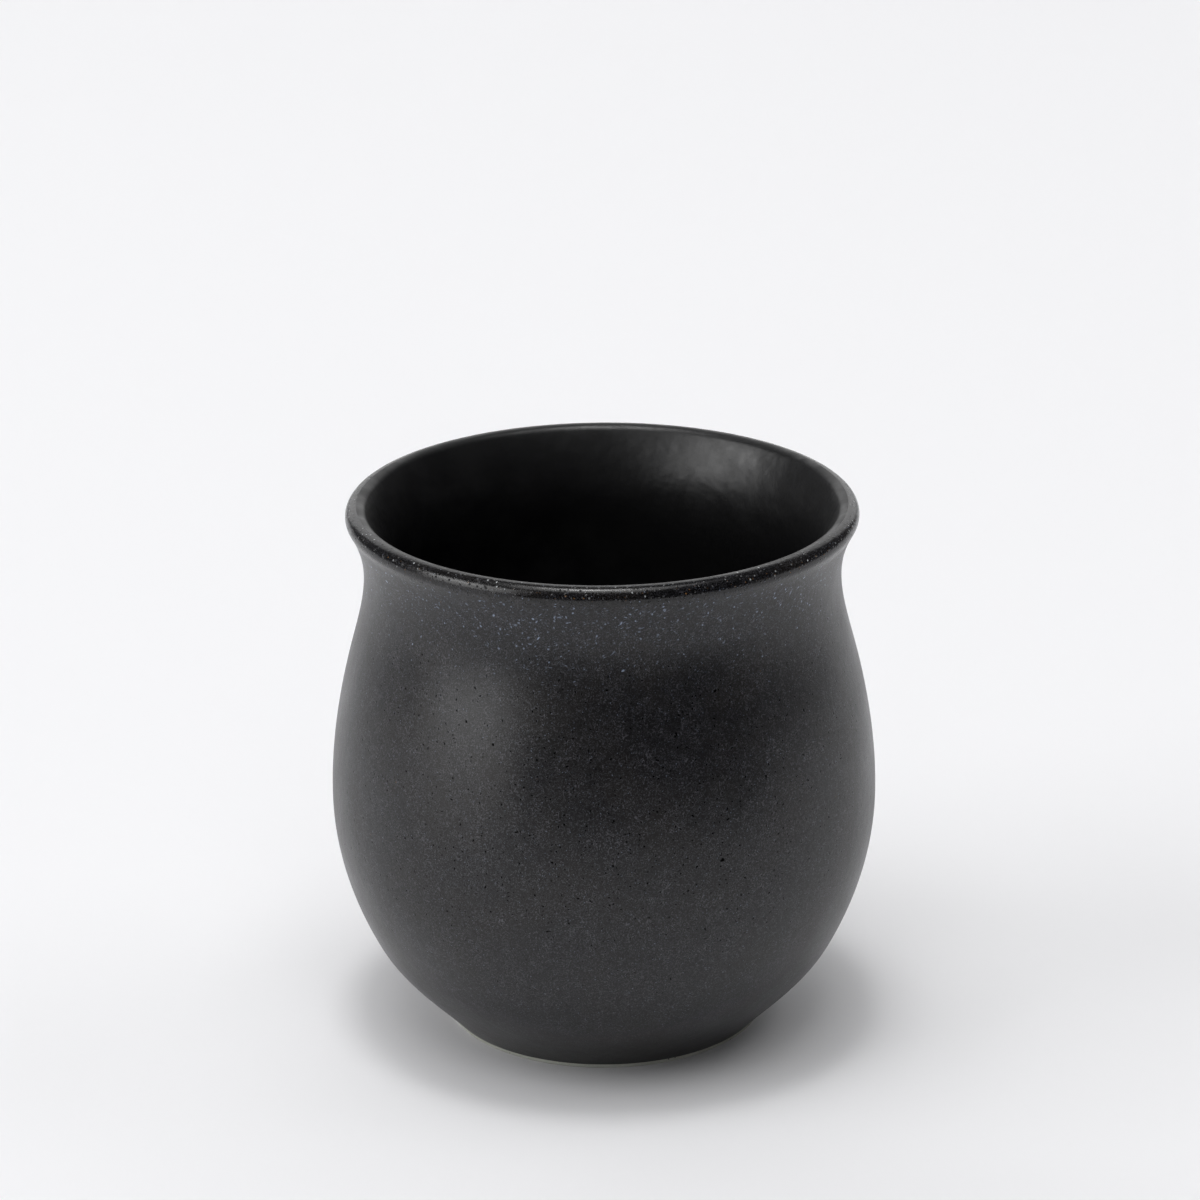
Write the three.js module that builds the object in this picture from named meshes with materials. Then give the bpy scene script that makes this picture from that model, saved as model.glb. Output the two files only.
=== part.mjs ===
// Coffee tasting cup without a handle: a turned stoneware body with a full belly, a drawn-in neck and a
// rolled, flared lip. It is coated matt black outside, inside and in the recess under the foot, and the
// foot ring is left as bare clay. Millimetres, +Z up, origin at the centre of the foot on the table.

import * as THREE from "three";

// Rim and lip, measured over the fired glaze
const cupHeight = 74.5;
const rimDiameter = 69.7;
const lipThickness = 3.0;
const lipFlareAngle = 31;

// Neck, measured from the rim: how far it draws in and how far down its narrowest place lies
const neckInset = 2.35;
const neckDrop = 10.0;

// Shoulder, where the belly's curve turns into the neck's: inside the belly's radius, below the neck
const shoulderSetback = 2.9;
const shoulderDrop = 11.0;
const shoulderAngle = -14.7;

// Belly, the widest place
const bellyDiameter = 75;
const bellyHeight = 33;

// Haunch, where the wall rising from the foot begins to round into the belly
const haunchSetback = 5.45;
const haunchHeight = 12.3;
const haunchAngle = 28;

// Foot: a low bare band under the glaze line, a flat ring to stand on and a shallow recess inside it
const footDiameter = 43.8;
const footAngle = 42;
const bareBandHeight = 0.62;
const footRingWidth = 4.0;
const footEdgeRadius = 0.25;
const recessDepth = 1.6;
const recessCornerRadius = 0.8;

// Wall and floor, glaze included
const wallThickness = 3.2;
const floorHeight = 6.0;
const floorFlatDiameter = 20;

// Glaze: its full thickness, and where it thins out at the glaze line above the foot
const glazeThickness = 0.4;
const glazeEdgeThickness = 0.15;

// Facets: sides of every turned form, and how far a facet of a section may lie off its curve or turn
const turnedSides = 48;
const facetSag = 0.1;
const facetTurn = THREE.MathUtils.degToRad(22.5);

const clay = new THREE.MeshStandardMaterial({ color: 0xcfc8ba, roughness: 0.9, metalness: 0 });
const blackGlaze = new THREE.MeshStandardMaterial({ color: 0x2b2b2c, roughness: 0.5, metalness: 0 });
const satinGlaze = new THREE.MeshStandardMaterial({ color: 0x1c1c1d, roughness: 0.4, metalness: 0 });

// A station is a place in the wall's section: radius, height and lean, the wall's angle from upright.
function station(radius, height, leanDegrees) {
  return { radius, height, lean: THREE.MathUtils.degToRad(leanDegrees) };
}

// The place under a station, at a depth measured square to the wall.
function under(place, depth) {
  return {
    radius: place.radius - depth * Math.cos(place.lean),
    height: place.height + depth * Math.sin(place.lean),
    lean: place.lean,
  };
}

// The point some way along the wall from a station.
function along(place, distance) {
  return new THREE.Vector2(
    place.radius + distance * Math.sin(place.lean),
    place.height + distance * Math.cos(place.lean),
  );
}

// Facets for a curve of a length and a turn: few enough to be quick, and fine enough for both limits.
function facetsFor(length, turn) {
  const bySag = Math.sqrt((length * Math.abs(turn)) / (8 * facetSag));
  const byTurn = Math.abs(turn) / facetTurn;
  return Math.max(1, Math.ceil(Math.max(bySag, byTurn)));
}

// The round curve from one station to the next, which leaves and arrives along their leans. The handle
// length is the one that gives a circular arc where the two leans allow one.
function sweep(from, to) {
  const chord = Math.hypot(to.radius - from.radius, to.height - from.height);
  const turn = to.lean - from.lean;
  const handle = chord / (3 * Math.cos(turn / 4) ** 2);
  const curve = new THREE.CubicBezierCurve(
    along(from, 0), along(from, handle), along(to, -handle), along(to, 0),
  );
  return curve.getPoints(facetsFor(chord, turn));
}

function sweepThrough(stations) {
  const spans = stations.slice(1).map((to, index) => sweep(stations[index], to));
  return chain(...spans);
}

function arc(centre, radius, startAngle, endAngle) {
  const turn = endAngle - startAngle;
  const curve = new THREE.ArcCurve(centre.x, centre.y, radius, startAngle, endAngle, turn < 0);
  return curve.getPoints(facetsFor(radius * Math.abs(turn), turn));
}

// One line of points from several, where each begins at the end of the one before.
function chain(first, ...others) {
  return others.reduce((line, next) => line.concat(next.slice(1)), first);
}

function backwards(line) {
  return line.slice().reverse();
}

// A solid of revolution about Z from a section that runs up on its outer side and down on its inner side.
function turned(name, section, material) {
  const geometry = new THREE.LatheGeometry(section, turnedSides);
  geometry.rotateX(Math.PI / 2);
  const mesh = new THREE.Mesh(geometry, material);
  mesh.name = name;
  return mesh;
}

// Stations of the finished outside, from the foot up to where the wall runs into the lip
const bellyRadius = bellyDiameter / 2;
const neckRadius = rimDiameter / 2 - neckInset;
const neckHeight = cupHeight - neckDrop;
const lipRadius = lipThickness / 2;
const lipFlare = THREE.MathUtils.degToRad(lipFlareAngle);
const lipCentre = new THREE.Vector2(rimDiameter / 2 - lipRadius, cupHeight - lipRadius);

const foot = station(footDiameter / 2, bareBandHeight, footAngle);
const haunch = station(bellyRadius - haunchSetback, haunchHeight, haunchAngle);
const belly = station(bellyRadius, bellyHeight, 0);
const shoulder = station(bellyRadius - shoulderSetback, neckHeight - shoulderDrop, shoulderAngle);
const neck = station(neckRadius, neckHeight, 0);
const lip = station(
  lipCentre.x + lipRadius * Math.cos(lipFlare),
  lipCentre.y - lipRadius * Math.sin(lipFlare),
  lipFlareAngle,
);
const wall = [haunch, belly, shoulder, neck];

// The outside of the cup from the glaze line to the crest of the lip, at a depth under the finished face
function outsideLine(depth, footDepth) {
  const stations = [
    under(foot, footDepth),
    ...wall.map((place) => under(place, depth)),
    under(lip, depth),
  ];
  return chain(
    sweepThrough(stations),
    arc(lipCentre, lipRadius - depth, -lipFlare, Math.PI / 2),
  );
}

// The inside from the centre of the floor to the crest of the lip, at a depth under the finished face
function insideLine(depth) {
  const floor = station(floorFlatDiameter / 2, floorHeight - depth, 90);
  const stations = [
    floor,
    ...wall.map((place) => under(place, wallThickness - depth)),
    under(lip, lipThickness - depth),
  ];
  return chain(
    [new THREE.Vector2(0, floor.height), along(floor, 0)],
    sweepThrough(stations),
    arc(lipCentre, lipRadius - depth, Math.PI - lipFlare, Math.PI / 2),
  );
}

// The underside from the centre of the recess out over the foot ring and up the bare band
function undersideLine(glazeLine) {
  const outerEdge = new THREE.Vector2(glazeLine.x - footEdgeRadius, footEdgeRadius);
  const recessRadius = glazeLine.x - footRingWidth;
  const corner = new THREE.Vector2(recessRadius - recessCornerRadius, recessDepth - recessCornerRadius);
  return [
    new THREE.Vector2(0, recessDepth),
    ...arc(corner, recessCornerRadius, Math.PI / 2, 0),
    new THREE.Vector2(recessRadius, 0),
    ...arc(outerEdge, footEdgeRadius, -Math.PI / 2, 0),
    glazeLine,
  ];
}

const finishedOutside = outsideLine(0, 0);
const clayOutside = outsideLine(glazeThickness, glazeEdgeThickness);
const finishedInside = insideLine(0);
const clayInside = insideLine(glazeThickness);
const clayUnderside = undersideLine(clayOutside[0]);

// Clay body: foot ring, floor, wall and lip in one piece
function makeClayBody() {
  const section = chain(clayUnderside, clayOutside, backwards(clayInside));
  return turned("clay_body", section, clay);
}

// Outer coat: from the glaze line above the foot to the crest of the lip
function makeOuterGlaze() {
  const section = [...finishedOutside, ...backwards(clayOutside), finishedOutside[0]];
  return turned("outer_glaze", section, blackGlaze);
}

// Inner coat: from the crest of the lip down over the wall and across the floor
function makeInnerGlaze() {
  const section = [...clayInside, ...backwards(finishedInside)];
  return turned("inner_glaze", section, satinGlaze);
}

// Coat on the ceiling of the recess, up to where the recess begins to round down to the foot ring
function makeRecessGlaze() {
  const [ceilingCentre, ceilingEdge] = clayUnderside;
  const coatHeight = recessDepth - glazeThickness;
  const section = [
    new THREE.Vector2(0, coatHeight),
    new THREE.Vector2(ceilingEdge.x - glazeThickness, coatHeight),
    ceilingEdge,
    ceilingCentre,
  ];
  return turned("foot_recess_glaze", section, blackGlaze);
}

const cup = new THREE.Group();
cup.name = "coffee_tasting_cup";
cup.add(makeClayBody(), makeOuterGlaze(), makeInnerGlaze(), makeRecessGlaze());

export default cup;
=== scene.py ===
from math import ceil, cos, hypot, pi, radians, sin, sqrt

import bpy
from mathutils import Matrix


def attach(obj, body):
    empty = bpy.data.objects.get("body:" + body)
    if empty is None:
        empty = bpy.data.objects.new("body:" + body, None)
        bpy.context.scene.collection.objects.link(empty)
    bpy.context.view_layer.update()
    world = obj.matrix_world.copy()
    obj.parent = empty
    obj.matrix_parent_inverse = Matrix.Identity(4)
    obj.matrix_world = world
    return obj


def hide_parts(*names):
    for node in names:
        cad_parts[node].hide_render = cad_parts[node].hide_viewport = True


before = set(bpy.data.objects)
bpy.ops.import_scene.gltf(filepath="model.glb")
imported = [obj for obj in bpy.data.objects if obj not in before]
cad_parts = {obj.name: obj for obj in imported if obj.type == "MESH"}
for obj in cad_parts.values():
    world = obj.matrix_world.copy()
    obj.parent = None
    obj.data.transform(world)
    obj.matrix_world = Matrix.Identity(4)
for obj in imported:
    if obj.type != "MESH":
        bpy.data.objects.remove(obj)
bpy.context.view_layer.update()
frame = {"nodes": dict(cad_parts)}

print("frame loaded:", ", ".join(frame["nodes"]))

scene = bpy.context.scene
scene.view_settings.view_transform = "Standard"
mm = 0.001  # the outlines are drawn in millimetres, Blender works in metres


# camera at the photograph's angle: a long lens, looking down at the cup from the front
cameraPlace = {
    "at": (-0.00038, -0.63953, 0.29872), "lookDown": 20.457, "tilt": -0.394,
    "lens": 150, "sensor": 36, "near": 0.01,
}

bpy.ops.object.camera_add(location=cameraPlace["at"])
camera = bpy.context.object
camera.name = "tableCamera"
camera.rotation_mode = "ZYX"  # tilt about the lens first, then the look down
camera.rotation_euler = (radians(90 - cameraPlace["lookDown"]), 0, radians(cameraPlace["tilt"]))
camera.data.sensor_width = cameraPlace["sensor"]
camera.data.lens = cameraPlace["lens"]
camera.data.clip_start = cameraPlace["near"]
scene.camera = camera
print("camera set")


# the wall's section: across and up in mm, leans in degrees from upright, the same figures as the solids
cupForm = {
    "height": 74.5, "rimAcross": 69.7, "lipThick": 3.0, "lipFlare": 31,
    "neckIn": 2.35, "neckDown": 10.0,
    "shoulderIn": 2.9, "shoulderDown": 11.0, "shoulderLean": -14.7,
    "bellyAcross": 75, "bellyUp": 33,
    "haunchIn": 5.45, "haunchUp": 12.3, "haunchLean": 28,
    "footAcross": 43.8, "footLean": 42, "bareBand": 0.62,
    "wallThick": 3.2, "floorUp": 6.0, "floorFlat": 20,
    "glazeThick": 0.4, "glazeEdge": 0.15,
    "sides": 192, "offCurve": 0.004,  # steps round the cup, and how far a step may leave the curve
    "weld": 0.002, "creaseOver": 40,  # points closer than this are one, and corners sharper than this stay sharp
}


def station(across, up, lean):
    return across, up, radians(lean)


def under(place, depth):  # square to the wall, into it
    across, up, lean = place
    return across - depth * cos(lean), up + depth * sin(lean), lean


def stepsFor(length, turn):
    return max(2, ceil(sqrt(length * abs(turn) / (8 * cupForm["offCurve"]))))


def sweep(start, end):  # round curve that leaves and arrives along the two leans
    (x0, z0, lean0), (x1, z1, lean1) = start, end
    chord = hypot(x1 - x0, z1 - z0)
    reach = chord / (3 * cos((lean1 - lean0) / 4) ** 2)
    xa, za = x0 + reach * sin(lean0), z0 + reach * cos(lean0)
    xb, zb = x1 - reach * sin(lean1), z1 - reach * cos(lean1)
    steps = stepsFor(chord, lean1 - lean0)
    line = []
    for step in range(steps + 1):
        t = step / steps
        s = 1 - t
        line.append((
            s ** 3 * x0 + 3 * s * s * t * xa + 3 * s * t * t * xb + t ** 3 * x1,
            s ** 3 * z0 + 3 * s * s * t * za + 3 * s * t * t * zb + t ** 3 * z1,
        ))
    return line


def arc(centre, radius, startAngle, endAngle):
    steps = stepsFor(radius * abs(endAngle - startAngle), endAngle - startAngle)
    angles = [startAngle + (endAngle - startAngle) * step / steps for step in range(steps + 1)]
    return [(centre[0] + radius * cos(a), centre[1] + radius * sin(a)) for a in angles]


def joined(*lines):  # each line begins where the one before it ends
    whole = list(lines[0])
    for line in lines[1:]:
        whole += line[1:]
    return whole


form = cupForm
bellyOut = form["bellyAcross"] / 2
neckUp = form["height"] - form["neckDown"]
lipRound = form["lipThick"] / 2
flare = radians(form["lipFlare"])
lipCentre = (form["rimAcross"] / 2 - lipRound, form["height"] - lipRound)

foot = station(form["footAcross"] / 2, form["bareBand"], form["footLean"])
wall = [
    station(bellyOut - form["haunchIn"], form["haunchUp"], form["haunchLean"]),
    station(bellyOut, form["bellyUp"], 0),
    station(bellyOut - form["shoulderIn"], neckUp - form["shoulderDown"], form["shoulderLean"]),
    station(form["rimAcross"] / 2 - form["neckIn"], neckUp, 0),
]
lip = station(lipCentre[0] + lipRound * cos(flare), lipCentre[1] - lipRound * sin(flare), form["lipFlare"])


def outsideLine(depth, footDepth):  # glaze line up to the crest of the lip
    places = [under(foot, footDepth)] + [under(place, depth) for place in wall + [lip]]
    curves = [sweep(a, b) for a, b in zip(places, places[1:])]
    return joined(*curves, arc(lipCentre, lipRound - depth, -flare, pi / 2))


def insideLine(depth):  # centre of the floor up to the crest of the lip
    floorEdge = station(form["floorFlat"] / 2, form["floorUp"] - depth, 90)
    places = [floorEdge] + [under(place, form["wallThick"] - depth) for place in wall]
    places.append(under(lip, form["lipThick"] - depth))
    curves = [sweep(a, b) for a, b in zip(places, places[1:])]
    middle = [(0, floorEdge[1]), (floorEdge[0] / 2, floorEdge[1]), floorEdge[:2]]
    return joined(middle, *curves, arc(lipCentre, lipRound - depth, pi - flare, pi / 2))


def turnPiece(name, outline):
    # a plane drawn together to one point, pulled out along the outline and spun about the cup's axis
    bpy.ops.object.select_all(action="DESELECT")
    bpy.ops.mesh.primitive_plane_add(size=mm, location=(outline[0][0] * mm, 0, outline[0][1] * mm))
    piece = bpy.context.object
    piece.name = piece.data.name = name
    bpy.ops.object.transform_apply(location=True, rotation=True, scale=True)
    bpy.ops.object.mode_set(mode="EDIT")
    bpy.ops.mesh.merge(type="CENTER")
    for (x0, z0), (x1, z1) in zip(outline, outline[1:]):
        move = ((x1 - x0) * mm, 0, (z1 - z0) * mm)
        bpy.ops.mesh.extrude_region_move(TRANSFORM_OT_translate={"value": move})
    bpy.ops.mesh.select_all(action="SELECT")
    bpy.ops.mesh.spin(steps=form["sides"], angle=2 * pi, center=(0, 0, 0), axis=(0, 0, 1))
    bpy.ops.mesh.select_all(action="SELECT")
    bpy.ops.mesh.remove_doubles(threshold=form["weld"] * mm)
    bpy.ops.mesh.normals_make_consistent(inside=False)
    bpy.ops.object.mode_set(mode="OBJECT")
    bpy.ops.object.shade_smooth_by_angle(angle=radians(form["creaseOver"]))
    return piece


# clay body: foot ring, floor, wall and lip thrown and turned in one piece
clayFoot = {"ringWide": 4.0, "edgeRound": 0.25, "recessDeep": 1.6, "recessRound": 0.8}

clayOutside = outsideLine(form["glazeThick"], form["glazeEdge"])
clayInside = insideLine(form["glazeThick"])
ringOut = clayOutside[0][0]
recessOut = ringOut - clayFoot["ringWide"]
recessCorner = (recessOut - clayFoot["recessRound"], clayFoot["recessDeep"] - clayFoot["recessRound"])
ringEdge = (ringOut - clayFoot["edgeRound"], clayFoot["edgeRound"])
underside = [
    (0, clayFoot["recessDeep"]),
    *arc(recessCorner, clayFoot["recessRound"], pi / 2, 0),
    (recessOut, 0),
    *arc(ringEdge, clayFoot["edgeRound"], -pi / 2, 0),
    clayOutside[0],
]
clayBody = turnPiece("clayBodyTurned", joined(underside, clayOutside, clayInside[::-1]))
print("clay body turned:", len(clayBody.data.polygons), "faces")

# outer coat: from the glaze line above the foot to the crest of the lip
finishedOutside = outsideLine(0, 0)
outerCoat = turnPiece("outerGlazeCoat", finishedOutside + clayOutside[::-1] + finishedOutside[:1])
print("outer coat turned:", len(outerCoat.data.polygons), "faces")

# inner coat: poured in, from the crest of the lip over the wall and the floor
finishedInside = insideLine(0)
innerCoat = turnPiece("innerGlazeCoat", clayInside + finishedInside[::-1])
print("inner coat turned:", len(innerCoat.data.polygons), "faces")

# coat on the ceiling of the recess, inside the ring that is wiped bare
ceilingEdge = underside[1]
coatUp = clayFoot["recessDeep"] - form["glazeThick"]
recessCoat = turnPiece("footRecessCoat", [
    (0, coatUp), (ceilingEdge[0] - form["glazeThick"], coatUp), ceilingEdge, underside[0],
])
print("recess coat turned:", len(recessCoat.data.polygons), "faces")


def tint(code):  # sRGB hex to the linear colour that Blender's sockets take
    parts = [int(code[i:i + 2], 16) / 255 for i in (1, 3, 5)]
    return [p / 12.92 if p <= 0.04045 else ((p + 0.055) / 1.055) ** 2.4 for p in parts] + [1]


def perMetre(size):  # texture scale for a pattern whose cells are this many millimetres
    return 1000 / size


def addNode(tree, kind, values={}, links={}, **settings):
    node = tree.nodes.new(kind)
    for key, value in settings.items():
        setattr(node, key, value)
    for socket, value in values.items():
        node.inputs[socket].default_value = value
    for socket, source in links.items():
        tree.links.new(source, node.inputs[socket])
    return node


def newMaterial(name):
    material = bpy.data.materials.new(name)
    material.use_nodes = True
    tree = material.node_tree
    tree.nodes.clear()
    return material, tree


# satin-matt iron black glaze, dipped and fired on stoneware: charcoal ground with a cloudy haze, pale
# crystals that crowd on the neck as bluish flecks, threads and hairs, pinholes on the belly, and at the
# lip, where the glaze runs thin and glossy, amber breaks and a crest of small glints, painted white into the colour
# as painted highlights
blackGlaze = {
    # the pinholes' near-black is painted shade, the dark of light trapped in a recess
    "dark": "#0a0a0b", "haze": "#5a595f", "rust": "#110f0d", "pitShade": "#040404",
    # the white of the crest's beads is a painted highlight
    "crystal": "#9dabc4", "paintedGlint": "#c6cacc", "amber": "#7d5a32",
    # grain of each pattern in mm, and the span of its noise that shows
    "hazeSize": 2.4, "hazeSpan": (0.38, 0.72), "hazeLeast": 0.4, "hazeOnLip": 0.5,
    "rustSize": 9.0, "rustSpan": (0.45, 0.62),
    "feltSize": 0.54, "feltCurl": 3.2, "feltSpan": (0.5, 0.66),
    "peelSize": 1.6, "bendSize": 1.3, "bendBy": 1.2,
    # dots in mm; chances run from 0 to 1
    "pitSpacing": 0.58, "pitRadius": 0.2, "pitFrom": 0.35, "pitLeast": 0.001,
    "amberSpacing": 0.6, "amberRadius": 0.12, "amberRare": 0.9975, "amberFaint": 2,
    "beadSpacing": 0.55, "beadRadius": 0.19, "paintedGlintBeads": (0.78, 0.9),
    # zones up the cup in mm: painted shade darkening the coat towards the foot, gloss on the lip, its crest, the
    # amber belt
    "footShadeZone": (1, 9), "footShadeLeast": 0.2, "lipZone": (71, 72.8), "crestZone": (72.8, 73.6), "beltZone": (70, 74.5),
    # share of the height or of the belt, and how large or dense the marks are there
    "crystalsUp": ((0, 0.4), (0.5, 0.4), (0.78, 0.48), (0.9, 0.95), (0.96, 1), (0.98, 0.5), (1, 0.2)),
    "pitsUp": ((0.1, 0.3), (0.4, 1), (0.82, 1), (0.93, 0.3)),
    "amberUp": ((0.55, 0.12), (0.72, 1), (0.84, 0.9), (0.95, 0.1)),
    # gloss, and relief in mm
    "ior": 1.45, "rough": 0.34, "roughVaries": 0.05, "unevenSpan": (0.5, 1.0), "lipRough": 0.2,
    "peelTall": 0.03, "feltTall": 0.012, "fleckTall": 0.01, "pitTall": -0.02, "beadTall": 0.07,
}
# mm apart, half width in mm, length in widths, brightness and the ways they lie in degrees; hairs are drawn
# wider than real to show at all
crystals = (
    {"apart": 0.8, "half": 0.17, "long": 1.0, "bright": 1.0, "turns": ((0, 0, 0),)},
    {"apart": 0.5, "half": 0.08, "long": 3.0, "bright": 0.65,
     "turns": ((0, 50, 20), (65, 10, 95), (20, -60, 150))},
    {"apart": 0.32, "half": 0.055, "long": 8.0, "bright": 0.3,
     "turns": ((80, 20, 0), (30, 75, 60), (10, 35, 120))},
)
crystalFaint = 2.2  # the higher, the more of them are faint
crystalDust = {"apart": 0.45, "half": 0.08, "bright": 0.42, "faint": 2.5}  # the finest crystals, even all over
softDot = {"From Min": 1.2, "From Max": 0.5}  # a dot fades in from just past its radius to half of it
crispDot = {"From Min": 1, "From Max": 0.5}


def makeBlackGlaze(look):
    material, tree = newMaterial("satinBlackStonewareGlaze")
    place = addNode(tree, "ShaderNodeTexCoord").outputs["Object"]
    up = addNode(tree, "ShaderNodeSeparateXYZ", {}, {0: place}).outputs["Z"]

    # shares from 0 to 1 up a zone of the cup
    zones = []
    for low, high, least in (
        (0, form["height"], 0), (*look["lipZone"], 0), (*look["crestZone"], 0), (*look["beltZone"], 0),
        (*look["footShadeZone"], look["footShadeLeast"]),  # painted shade: haze and flecks fade out, so the colour darkens towards the foot, where the table's shade falls
    ):
        zones.append(addNode(tree, "ShaderNodeMapRange",
                             {"From Min": low * mm, "From Max": high * mm, "To Min": least},
                             {"Value": up}).outputs[0])
    upShare, lipShare, crest, beltShare, footShadeFade = zones

    # how the marks change up the cup: crystals crowd from the belly to the neck and stop under the lip,
    # pinholes are few at the foot and on the neck, amber keeps to the belt round the lip
    ramps = []
    for source, steps in ((upShare, look["crystalsUp"]), (upShare, look["pitsUp"]), (beltShare, look["amberUp"])):
        ramp = addNode(tree, "ShaderNodeValToRGB", {}, {0: source})
        stops = ramp.color_ramp.elements
        for stop, (position, share) in zip(stops, (steps[0], steps[-1])):
            stop.position, stop.color = position, (share, share, share, 1)
        for position, share in steps[1:-1]:
            stops.new(position).color = (share, share, share, 1)
        ramps.append(ramp.outputs[0])
    crowd, pitHeights, belt = ramps

    # threads and hairs bend with a slow noise
    wobble = addNode(tree, "ShaderNodeTexNoise", {"Scale": perMetre(look["bendSize"]), "Detail": 1},
                     {"Vector": place})
    bend = addNode(tree, "ShaderNodeVectorMath", {1: [look["bendBy"] * mm] * 3},
                   {0: wobble.outputs["Color"]}, operation="MULTIPLY")
    bentPlace = addNode(tree, "ShaderNodeVectorMath", {}, {0: place, 1: bend.outputs[0]},
                        operation="ADD").outputs[0]

    flecks = None
    for kind in crystals:
        for turn in kind["turns"]:
            lie = addNode(tree, "ShaderNodeMapping",
                          {"Rotation": [radians(a) for a in turn], "Scale": (1, 1, kind["long"])},
                          {"Vector": bentPlace}, vector_type="TEXTURE")
            cells = addNode(tree, "ShaderNodeTexVoronoi", {"Scale": perMetre(kind["apart"])},
                            {"Vector": lie.outputs[0]})
            size = addNode(tree, "ShaderNodeMath", {1: kind["half"] / kind["apart"]}, {0: crowd},
                           operation="MULTIPLY")
            ratio = addNode(tree, "ShaderNodeMath", {}, {0: cells.outputs["Distance"], 1: size.outputs[0]},
                            operation="DIVIDE")
            spot = addNode(tree, "ShaderNodeMapRange", {**softDot, "To Max": kind["bright"]},
                           {"Value": ratio.outputs[0]})
            chance = addNode(tree, "ShaderNodeSeparateColor", {}, {0: cells.outputs["Color"]})
            few = addNode(tree, "ShaderNodeMath", {1: crystalFaint}, {0: chance.outputs[0]}, operation="POWER")
            fleck = addNode(tree, "ShaderNodeMath", {}, {0: spot.outputs[0], 1: few.outputs[0]},
                            operation="MULTIPLY")
            if flecks:
                fleck = addNode(tree, "ShaderNodeMath", {}, {0: flecks, 1: fleck.outputs[0]}, operation="MAXIMUM")
            flecks = fleck.outputs[0]
    flecks = addNode(tree, "ShaderNodeMath", {}, {0: flecks, 1: crowd}, operation="MULTIPLY").outputs[0]
    dustCells = addNode(tree, "ShaderNodeTexVoronoi", {"Scale": perMetre(crystalDust["apart"])}, {"Vector": place})
    dustEdge = crystalDust["half"] / crystalDust["apart"]
    dustSpot = addNode(tree, "ShaderNodeMapRange",
                       {"From Min": dustEdge, "From Max": dustEdge / 2, "To Max": crystalDust["bright"]},
                       {"Value": dustCells.outputs["Distance"]})
    dustChance = addNode(tree, "ShaderNodeSeparateColor", {}, {0: dustCells.outputs["Color"]})
    dustFew = addNode(tree, "ShaderNodeMath", {1: crystalDust["faint"]}, {0: dustChance.outputs[0]},
                      operation="POWER")
    flecks = addNode(tree, "ShaderNodeMath", {}, {0: dustSpot.outputs[0], 1: dustFew.outputs[0], 2: flecks},
                     operation="MULTIPLY_ADD").outputs[0]
    # the flecks fade too towards the foot, as painted shade
    flecks = addNode(tree, "ShaderNodeMath", {}, {0: flecks, 1: footShadeFade}, operation="MULTIPLY").outputs[0]

    # pinholes where gas broke through: small and large ones, and none in some places; their bottoms get painted
    # shade, a near-black colour
    pitCells = addNode(tree, "ShaderNodeTexVoronoi", {"Scale": perMetre(look["pitSpacing"])},
                       {"Vector": bentPlace})
    pitChance = addNode(tree, "ShaderNodeSeparateColor", {}, {0: pitCells.outputs["Color"]})
    pitSize = addNode(tree, "ShaderNodeMapRange",
                      {"From Min": look["pitFrom"], "To Min": look["pitLeast"],
                       "To Max": look["pitRadius"] / look["pitSpacing"]}, {"Value": pitChance.outputs[0]})
    pitHere = addNode(tree, "ShaderNodeMath", {}, {0: pitSize.outputs[0], 1: pitHeights}, operation="MULTIPLY")
    pitRatio = addNode(tree, "ShaderNodeMath", {}, {0: pitCells.outputs["Distance"], 1: pitHere.outputs[0]},
                       operation="DIVIDE")
    pits = addNode(tree, "ShaderNodeMapRange", crispDot, {"Value": pitRatio.outputs[0]}).outputs[0]

    # amber breaks in a belt round the outside of the lip, and a rare one lower down
    amberCells = addNode(tree, "ShaderNodeTexVoronoi", {"Scale": perMetre(look["amberSpacing"])},
                         {"Vector": place})
    amberChance = addNode(tree, "ShaderNodeSeparateColor", {}, {0: amberCells.outputs["Color"]})
    rare = addNode(tree, "ShaderNodeMath", {1: look["amberRare"]}, {0: amberChance.outputs[1]},
                   operation="GREATER_THAN")
    amberHere = addNode(tree, "ShaderNodeMath", {}, {0: belt, 1: rare.outputs[0]}, operation="MAXIMUM")
    amberSize = addNode(tree, "ShaderNodeMath", {1: look["amberRadius"] / look["amberSpacing"]},
                        {0: amberHere.outputs[0]}, operation="MULTIPLY")
    amberRatio = addNode(tree, "ShaderNodeMath", {}, {0: amberCells.outputs["Distance"], 1: amberSize.outputs[0]},
                         operation="DIVIDE")
    amberSpot = addNode(tree, "ShaderNodeMapRange", softDot, {"Value": amberRatio.outputs[0]})
    amberFew = addNode(tree, "ShaderNodeMath", {1: look["amberFaint"]}, {0: amberChance.outputs[0]},
                       operation="POWER")
    amber = addNode(tree, "ShaderNodeMath", {}, {0: amberSpot.outputs[0], 1: amberFew.outputs[0]},
                    operation="MULTIPLY").outputs[0]

    # beads on the lip, and along its crest a few of them painted white as painted highlights, the glints of the
    # lamp above
    beadCells = addNode(tree, "ShaderNodeTexVoronoi", {"Scale": perMetre(look["beadSpacing"])}, {"Vector": place})
    beads = addNode(tree, "ShaderNodeMapRange",
                    {"From Min": look["beadRadius"] / look["beadSpacing"], "From Max": 0},
                    {"Value": beadCells.outputs["Distance"]}, interpolation_type="SMOOTHSTEP").outputs[0]
    beadChance = addNode(tree, "ShaderNodeSeparateColor", {}, {0: beadCells.outputs["Color"]})
    rarest, usual = look["paintedGlintBeads"]
    paintedGlintFew = addNode(tree, "ShaderNodeMapRange", {"From Min": rarest, "From Max": usual},
                       {"Value": beadChance.outputs[0]})
    paintedGlintHere = addNode(tree, "ShaderNodeMath", {}, {0: paintedGlintFew.outputs[0], 1: crest}, operation="MULTIPLY")
    paintedGlints = addNode(tree, "ShaderNodeMath", {}, {0: beads, 1: paintedGlintHere.outputs[0]},
                     operation="MULTIPLY").outputs[0]
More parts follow.
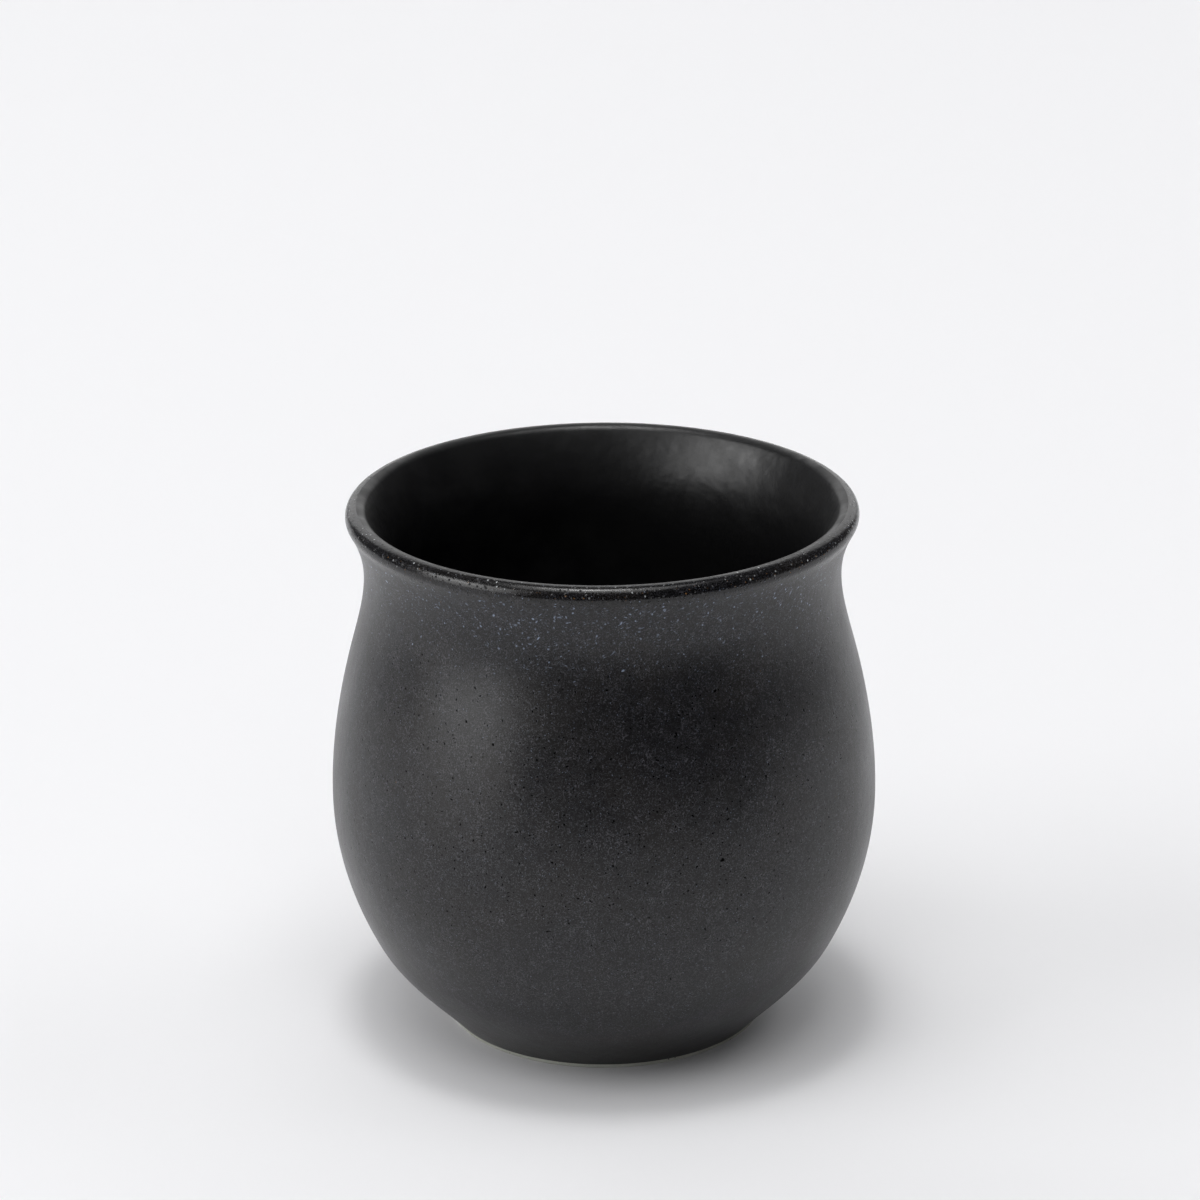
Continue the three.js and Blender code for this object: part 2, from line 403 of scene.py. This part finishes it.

    # colour: dark ground, warm blotches, cloudy haze on a mat of curled hairs, then the marks on top, among them
    # painted highlights on the lip's crest and painted shade in the pinholes
    cloud = addNode(tree, "ShaderNodeTexNoise",
                    {"Scale": perMetre(look["hazeSize"]), "Detail": 5, "Roughness": 0.7}, {"Vector": place})
    felt = addNode(tree, "ShaderNodeTexNoise",
                   {"Scale": perMetre(look["feltSize"]), "Detail": 3, "Roughness": 0.6,
                    "Distortion": look["feltCurl"]}, {"Vector": place}).outputs[0]
    blotch = addNode(tree, "ShaderNodeTexNoise", {"Scale": perMetre(look["rustSize"]), "Detail": 3},
                     {"Vector": place}).outputs[0]
    clear = []
    for source, (low, high) in (
        (cloud.outputs[0], look["hazeSpan"]), (felt, look["feltSpan"]), (blotch, look["rustSpan"]),
    ):
        clear.append(addNode(tree, "ShaderNodeMapRange", {"From Min": low, "From Max": high},
                             {"Value": source}).outputs[0])
    haze, mat, rust = clear
    matHaze = addNode(tree, "ShaderNodeMapRange", {"To Min": look["hazeLeast"]}, {"Value": haze})
    speckle = addNode(tree, "ShaderNodeMath", {}, {0: matHaze.outputs[0], 1: mat}, operation="MULTIPLY")
    bare = addNode(tree, "ShaderNodeMapRange", {"To Min": 1, "To Max": look["hazeOnLip"]}, {"Value": lipShare})
    ends = addNode(tree, "ShaderNodeMath", {}, {0: bare.outputs[0], 1: footShadeFade}, operation="MULTIPLY")
    hazeShare = addNode(tree, "ShaderNodeMath", {}, {0: speckle.outputs[0], 1: ends.outputs[0]},
                        operation="MULTIPLY").outputs[0]
    colour = addNode(tree, "ShaderNodeMix", {6: tint(look["dark"]), 7: tint(look["rust"])}, {0: rust},
                     data_type="RGBA").outputs[2]
    marks = ((hazeShare, "haze"), (flecks, "crystal"), (amber, "amber"), (paintedGlints, "paintedGlint"), (pits, "pitShade"))
    for mask, name in marks:
        colour = addNode(tree, "ShaderNodeMix", {7: tint(look[name])}, {0: mask, 6: colour},
                         data_type="RGBA").outputs[2]

    # gloss: satin, uneven with the blotches and the grain, glossier on the lip
    low, high = look["unevenSpan"]
    uneven = addNode(tree, "ShaderNodeMath", {1: 0.5}, {0: felt, 2: blotch}, operation="MULTIPLY_ADD")
    satin = addNode(tree, "ShaderNodeMapRange",
                    {"From Min": low, "From Max": high, "To Min": look["rough"] - look["roughVaries"],
                     "To Max": look["rough"] + look["roughVaries"]}, {"Value": uneven.outputs[0]})
    rough = addNode(tree, "ShaderNodeMix", {3: look["lipRough"]}, {0: lipShare, 2: satin.outputs[0]})

    # relief: orange peel, fine grain, flecks a little proud, pinholes sunk in, beads on the lip
    peel = addNode(tree, "ShaderNodeTexNoise", {"Scale": perMetre(look["peelSize"]), "Detail": 1},
                   {"Vector": place})
    lipBeads = addNode(tree, "ShaderNodeMath", {}, {0: beads, 1: lipShare}, operation="MULTIPLY")
    relief = None
    for source, name in ((peel.outputs[0], "peelTall"), (felt, "feltTall"), (flecks, "fleckTall"),
                         (pits, "pitTall"), (lipBeads.outputs[0], "beadTall")):
        layer = addNode(tree, "ShaderNodeMath", {1: look[name] * mm, 2: 0}, {0: source}, operation="MULTIPLY_ADD")
        if relief:
            tree.links.new(relief, layer.inputs[2])
        relief = layer.outputs[0]
    bump = addNode(tree, "ShaderNodeBump", {"Strength": 1, "Distance": 1}, {"Height": relief})

    # a pinhole swallows the light, so its bottom is painted shade: black with full metallic takes away its colour
    # and its gloss
    shader = addNode(tree, "ShaderNodeBsdfPrincipled", {"IOR": look["ior"]},
                     {"Base Color": colour, "Roughness": rough.outputs[0], "Metallic": pits,
                      "Normal": bump.outputs[0]})
    addNode(tree, "ShaderNodeOutputMaterial", {}, {"Surface": shader.outputs[0]})
    return material


# satin black liner glaze, poured in and swilled round: smooth and deep, its gloss cloudy where it ran
linerGlaze = {
    "dark": "#08080a", "haze": "#1a1a1b", "cloudSize": 5.0, "cloudSpan": (0.35, 0.65),
    "peelSize": 3.0, "peelTall": 0.12, "ior": 1.5, "rough": 0.4, "roughVaries": 0.08,
}


def makeLinerGlaze(look):
    material, tree = newMaterial("satinBlackLinerGlaze")
    place = addNode(tree, "ShaderNodeTexCoord").outputs["Object"]
    cloud = addNode(tree, "ShaderNodeTexNoise",
                    {"Scale": perMetre(look["cloudSize"]), "Detail": 4, "Roughness": 0.6}, {"Vector": place})
    low, high = look["cloudSpan"]
    shade = addNode(tree, "ShaderNodeMapRange", {"From Min": low, "From Max": high},
                    {"Value": cloud.outputs[0]}).outputs[0]
    colour = addNode(tree, "ShaderNodeMix", {6: tint(look["dark"]), 7: tint(look["haze"])}, {0: shade},
                     data_type="RGBA")
    rough = addNode(tree, "ShaderNodeMapRange",
                    {"To Min": look["rough"] + look["roughVaries"], "To Max": look["rough"] - look["roughVaries"]},
                    {"Value": shade})
    peel = addNode(tree, "ShaderNodeTexNoise", {"Scale": perMetre(look["peelSize"]), "Detail": 2},
                   {"Vector": place})
    bump = addNode(tree, "ShaderNodeBump", {"Strength": 1, "Distance": look["peelTall"] * mm},
                   {"Height": peel.outputs[0]})
    shader = addNode(tree, "ShaderNodeBsdfPrincipled", {"IOR": look["ior"]},
                     {"Base Color": colour.outputs[2], "Roughness": rough.outputs[0], "Normal": bump.outputs[0]})
    addNode(tree, "ShaderNodeOutputMaterial", {}, {"Surface": shader.outputs[0]})
    return material


# bare stoneware, turned and wiped with a sponge: pale, dry and sandy, with dark grains of grog
bareClay = {
    "pale": "#d6d7cd", "deep": "#babbb1", "grog": "#7d7a72",
    "sandSize": 0.25, "sandTall": 0.05, "sandShare": 0.4,
    "grogSpacing": 0.9, "grogDot": (0.16, 0.1),  # where a grain fades in, as shares of the spacing
    "ior": 1.5, "rough": 0.9,
}


def makeBareClay(look):
    material, tree = newMaterial("bareStoneware")
    place = addNode(tree, "ShaderNodeTexCoord").outputs["Object"]
    sand = addNode(tree, "ShaderNodeTexNoise", {"Scale": perMetre(look["sandSize"]), "Detail": 3},
                   {"Vector": place})
    colour = addNode(tree, "ShaderNodeMix", {6: tint(look["deep"]), 7: tint(look["pale"])},
                     {0: sand.outputs[0]}, data_type="RGBA")
    grains = addNode(tree, "ShaderNodeTexVoronoi", {"Scale": perMetre(look["grogSpacing"])}, {"Vector": place})
    outer, inner = look["grogDot"]
    grog = addNode(tree, "ShaderNodeMapRange", {"From Min": outer, "From Max": inner},
                   {"Value": grains.outputs[0]})
    speckled = addNode(tree, "ShaderNodeMix", {7: tint(look["grog"])}, {0: grog.outputs[0], 6: colour.outputs[2]},
                       data_type="RGBA")
    bump = addNode(tree, "ShaderNodeBump", {"Strength": look["sandShare"], "Distance": look["sandTall"] * mm},
                   {"Height": sand.outputs[0]})
    shader = addNode(tree, "ShaderNodeBsdfPrincipled", {"IOR": look["ior"], "Roughness": look["rough"]},
                     {"Base Color": speckled.outputs[2], "Normal": bump.outputs[0]})
    addNode(tree, "ShaderNodeOutputMaterial", {}, {"Surface": shader.outputs[0]})
    return material


outerMaterial = makeBlackGlaze(blackGlaze)
linerMaterial = makeLinerGlaze(linerGlaze)
clayMaterial = makeBareClay(bareClay)
for piece, material, node, slot in (
    (clayBody, clayMaterial, "clay_body", "bare_clay"),
    (outerCoat, outerMaterial, "outer_glaze", "black_speckled_glaze"),
    (innerCoat, linerMaterial, "inner_glaze", "black_liner_glaze"),
    (recessCoat, outerMaterial, "foot_recess_glaze", "black_speckled_glaze"),
):
    piece.data.materials.append(material)
    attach(piece, "root")
    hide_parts(node)
print("materials on, pieces ride on the cup")


# studio: a plain white table in a pale room; its colour turns greyer far from the cup, painted shade beyond the
# pool of light round the cup
table = {"white": "#f4f4f6", "far": "#a8a8ab", "wide": 6, "shadeFrom": 0.62, "shadeTo": 1.3, "rough": 0.9}

bpy.ops.object.select_all(action="DESELECT")
bpy.ops.mesh.primitive_plane_add(size=table["wide"], location=(0, 0, 0))
floor = bpy.context.object
floor.name = "whiteTable"
material, tree = newMaterial("matWhiteTable")
place = addNode(tree, "ShaderNodeTexCoord").outputs["Object"]
away = addNode(tree, "ShaderNodeVectorMath", {}, {0: place}, operation="LENGTH")
# painted shade: the table's colour turns grey between these distances from the cup
shadeFade = addNode(tree, "ShaderNodeMapRange", {"From Min": table["shadeFrom"], "From Max": table["shadeTo"]},
               {"Value": away.outputs["Value"]})
colour = addNode(tree, "ShaderNodeMix", {6: tint(table["white"]), 7: tint(table["far"])}, {0: shadeFade.outputs[0]},
                 data_type="RGBA")
shader = addNode(tree, "ShaderNodeBsdfPrincipled", {"Roughness": table["rough"], "Specular IOR Level": 0},
                 {"Base Color": colour.outputs[2]})
addNode(tree, "ShaderNodeOutputMaterial", {}, {"Surface": shader.outputs[0]})
floor.data.materials.append(material)

# a dark card round the front that only the glaze sees, for the dark side of the room behind the camera;
# metres, and the ends in degrees from straight in front
frontCard = {
    "black": "#1a1a1b", "rough": 0.9,
    "away": 0.26, "tall": 0.26, "leftEnd": -38, "rightEnd": 66, "steps": 24,
}

bpy.ops.object.select_all(action="DESELECT")
bpy.ops.mesh.primitive_plane_add(size=mm, location=(0, 0, 0))
card = bpy.context.object
card.name = "darkFrontCard"
bpy.ops.object.mode_set(mode="EDIT")
bpy.ops.mesh.merge(type="CENTER")
start, end = radians(frontCard["leftEnd"]), radians(frontCard["rightEnd"])
bpy.ops.transform.translate(value=(frontCard["away"] * sin(start), -frontCard["away"] * cos(start), 0))
bpy.ops.mesh.extrude_region_move(TRANSFORM_OT_translate={"value": (0, 0, frontCard["tall"])})
bpy.ops.mesh.select_all(action="SELECT")
bpy.ops.mesh.spin(steps=frontCard["steps"], angle=start - end, center=(0, 0, 0), axis=(0, 0, 1))
bpy.ops.object.mode_set(mode="OBJECT")
material, tree = newMaterial("blackCard")
shader = addNode(tree, "ShaderNodeBsdfPrincipled",
                 {"Base Color": tint(frontCard["black"]), "Roughness": frontCard["rough"], "Specular IOR Level": 0})
addNode(tree, "ShaderNodeOutputMaterial", {}, {"Surface": shader.outputs[0]})
card.data.materials.append(material)
card.visible_camera = card.visible_diffuse = card.visible_shadow = card.visible_transmission = False

# soft boxes: size in metres, glow as the brightness of the box's face where a white card in full light is 1;
# those with shine are mirrored in the glaze, those with shade light the table and cast the soft shadow
softBoxes = {
    "overheadBox": {"at": (-0.1, -0.3, 3.0), "size": (2.2, 2.2), "glow": 2.1, "shine": True, "shade": True},
    "overheadCore": {"at": (-0.15, 0.0, 2.9), "size": (0.6, 0.6), "glow": 14, "shine": True, "shade": True},
    "leftBox": {"at": (-2.4, -1.4, 1.05), "size": (2.6, 2.4), "glow": 2.8, "shine": True, "shade": False},
    "leftCore": {"at": (-2.6, -0.72, 1.7), "size": (1.6, 1.0), "glow": 2.8, "shine": True, "shade": False},
    "leftKey": {"at": (-2.37, -0.63, 1.6), "size": (2.2, 2.0), "glow": 1.9, "shine": False, "shade": True},
    "backWall": {"at": (0.0, 4.8, 2.0), "size": (6.6, 4.0), "glow": 1.0, "shine": True, "shade": False},
    "backKey": {"at": (-1.0, 3.9, 1.15), "size": (9.0, 2.3), "glow": 2.75, "shine": False, "shade": True},
    "rightFill": {"at": (2.3, 0.6, 2.5), "size": (2.0, 1.6), "glow": 1.2, "shine": False, "shade": True},
    "frontFill": {"at": (0.0, -1.9, 2.3), "size": (2.0, 1.6), "glow": 1.15, "shine": False, "shade": True},
}
aimUp = 0.04  # they all point at the middle of the cup

for name, box in softBoxes.items():
    bpy.ops.object.light_add(type="AREA", location=box["at"])
    lamp = bpy.context.object
    lamp.name = name
    lamp.data.shape = "RECTANGLE"
    lamp.data.size, lamp.data.size_y = box["size"]
    lamp.data.energy = box["glow"] * pi * box["size"][0] * box["size"][1]
    aim = lamp.location * -1
    aim.z += aimUp
    lamp.rotation_euler = aim.to_track_quat("-Z", "Y").to_euler()
    lamp.visible_camera = False
    lamp.visible_glossy = box["shine"]
    lamp.visible_diffuse = box["shade"]

# the room: paler on the left and behind the cup, dim on the camera's side
roomLook = {"pale": "#f4f4f6", "dim": 0.05, "bright": 0.085, "towards": (-0.5, 0.87, 0), "span": (-0.7, 0.3)}

world = scene.world or bpy.data.worlds.new("paleRoom")
scene.world = world
world.use_nodes = True
tree = world.node_tree
tree.nodes.clear()
direction = addNode(tree, "ShaderNodeTexCoord").outputs["Generated"]
depth = addNode(tree, "ShaderNodeVectorMath", {1: roomLook["towards"]}, {0: direction}, operation="DOT_PRODUCT")
low, high = roomLook["span"]
glow = addNode(tree, "ShaderNodeMapRange",
               {"From Min": low, "From Max": high, "To Min": roomLook["dim"], "To Max": roomLook["bright"]},
               {"Value": depth.outputs["Value"]})
room = addNode(tree, "ShaderNodeBackground", {"Color": tint(roomLook["pale"])}, {"Strength": glow.outputs[0]})
addNode(tree, "ShaderNodeOutputWorld", {}, {"Surface": room.outputs[0]})
print("studio lit")
